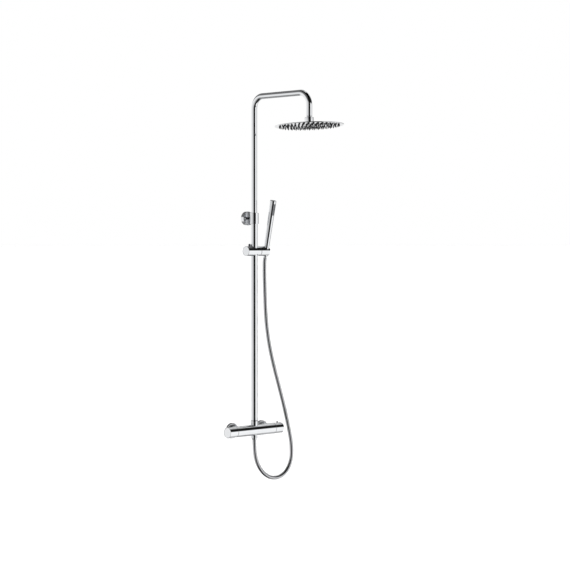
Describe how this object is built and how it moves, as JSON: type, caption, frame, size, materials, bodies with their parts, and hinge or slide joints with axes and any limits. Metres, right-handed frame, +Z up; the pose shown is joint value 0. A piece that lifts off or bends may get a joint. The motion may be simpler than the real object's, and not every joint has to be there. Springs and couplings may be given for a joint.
{
  "type": "rainfall shower column",
  "caption": "Wall-mounted shower column: thermostatic bar mixer, telescopic riser with a bent arm, round rain head on a ball joint, sliding holder, stick handset and metal hose.",
  "frame": {"origin": "on the wall plane, midway between the two water inlets, at inlet height", "axes": "+X to the right seen from the room, -Y out from the wall, +Z up along the riser"},
  "size_m": [0.3317, 0.481, 1.4461],
  "materials": {
    "chrome": "polished chrome plate",
    "hose_metal": "polished wound metal strip",
    "face_steel": "polished stainless sheet",
    "steel": "plain zinc-plated steel",
    "spring_steel": "drawn spring wire",
    "brass": "machined brass",
    "rubber": "moulded black rubber",
    "silicone": "moulded dark grey silicone",
    "white_plastic": "moulded acetal",
    "grey_plastic": "moulded dark grey plastic",
    "ceramic": "lapped ceramic"
  },
  "bodies": {
    "mixer": {"mixer_body": "chrome", "left_wall_union": "brass", "right_wall_union": "brass", "left_wall_rosette": "chrome", "right_wall_rosette": "chrome", "left_union_nut": "chrome", "right_union_nut": "chrome", "inlet_filters": "rubber", "check_valves": "white_plastic", "flow_cartridge": "white_plastic", "flow_disc_fixed": "ceramic", "thermostat_cartridge": "white_plastic", "thermostat_element": "brass", "thermostat_spring": "spring_steel", "stop_ring": "white_plastic", "riser_nut": "chrome", "riser_seal": "rubber", "lower_tube": "chrome", "riser_sleeve": "chrome", "sleeve_gland": "white_plastic", "height_lock_screw": "steel", "bracket_post": "chrome", "bracket_rosette": "chrome", "bracket_base": "steel", "hose": "hose_metal", "hose_lower_nut": "chrome", "hose_washer": "rubber", "outlet_nipple": "brass"},
    "flow_handle": {"flow_knob": "chrome", "flow_spindle": "brass", "flow_knob_screw": "steel", "flow_disc_moving": "ceramic"},
    "temperature_handle": {"temperature_knob": "chrome", "temperature_spindle": "brass", "temperature_knob_screw": "steel", "stop_button_spring": "spring_steel"},
    "stop_button": {"stop_button": "grey_plastic"},
    "riser_carriage": {"telescope_bush": "white_plastic", "telescope_orings": "rubber"},
    "upper_riser": {"upper_tube": "chrome", "ball_fitting": "chrome"},
    "head_swivel": {"ball_seat": "white_plastic"},
    "rain_head": {"head_nut": "chrome", "head_top_plate": "chrome", "head_face_plate": "face_steel", "nozzle_mat": "silicone"},
    "slider_carriage": {"slider_bush": "white_plastic"},
    "slider": {"slider_body": "chrome", "holder_axle": "brass", "holder_washer": "grey_plastic"},
    "clamp_lever": {"clamp_lever": "chrome"},
    "holder": {"holder": "chrome"},
    "handset": {"handset_body": "chrome", "handset_cap": "chrome", "handset_spray_plate": "grey_plastic", "handset_washer": "rubber", "hose_cone_nut": "chrome"}
  },
  "joints": [
    {"name": "flow_turn", "type": "hinge", "parent": "mixer", "child": "flow_handle", "pos_m": [-0.12, -0.045, 0], "axis": [1, 0, 0], "range_deg": [-90, 90]},
    {"name": "temperature_turn", "type": "hinge", "parent": "mixer", "child": "temperature_handle", "pos_m": [0.12, -0.045, 0], "axis": [1, 0, 0], "range_deg": [-150, 60]},
    {"name": "stop_button_press", "type": "slide", "parent": "temperature_handle", "child": "stop_button", "axis": [0, 0, -1], "range_m": [0, 0.0025], "stiffness_N_per_m": 300, "springref_m": -0.002, "deforming": ["stop_button_spring"]},
    {"name": "riser_height", "type": "slide", "parent": "mixer", "child": "riser_carriage", "axis": [0, 0, 1], "range_m": [-0.3, 0.1]},
    {"name": "arm_swivel", "type": "hinge", "parent": "riser_carriage", "child": "upper_riser", "pos_m": [0, -0.045, 0.8], "axis": [0, 0, 1], "range_deg": [-60, 60]},
    {"name": "head_spin", "type": "hinge", "parent": "upper_riser", "child": "head_swivel", "pos_m": [0, -0.335, 1.143], "axis": [0, 0, 1], "continuous": true},
    {"name": "head_tilt", "type": "hinge", "parent": "head_swivel", "child": "rain_head", "pos_m": [0, -0.335, 1.143], "axis": [1, 0, 0], "range_deg": [-10, 12]},
    {"name": "slider_height", "type": "slide", "parent": "mixer", "child": "slider_carriage", "axis": [0, 0, 1], "range_m": [-0.45, 0.07], "deforming": ["hose"]},
    {"name": "slider_swivel", "type": "hinge", "parent": "slider_carriage", "child": "slider", "pos_m": [0, -0.045, 0.668], "axis": [0, 0, 1], "range_deg": [-50, 20], "deforming": ["hose"]},
    {"name": "clamp_lever_turn", "type": "hinge", "parent": "slider", "child": "clamp_lever", "pos_m": [-0.018, -0.039, 0.668], "axis": [0, 0, 1], "range_deg": [0, 40]},
    {"name": "holder_tilt", "type": "hinge", "parent": "slider", "child": "holder", "pos_m": [0.03, -0.045, 0.668], "axis": [1, 0, 0], "range_deg": [-12, 20], "deforming": ["hose"]},
    {"name": "handset_lift", "type": "slide", "parent": "holder", "child": "handset", "axis": [0, -0.2079, 0.9781], "range_m": [0, 0.05], "deforming": ["hose"]}
  ]
}
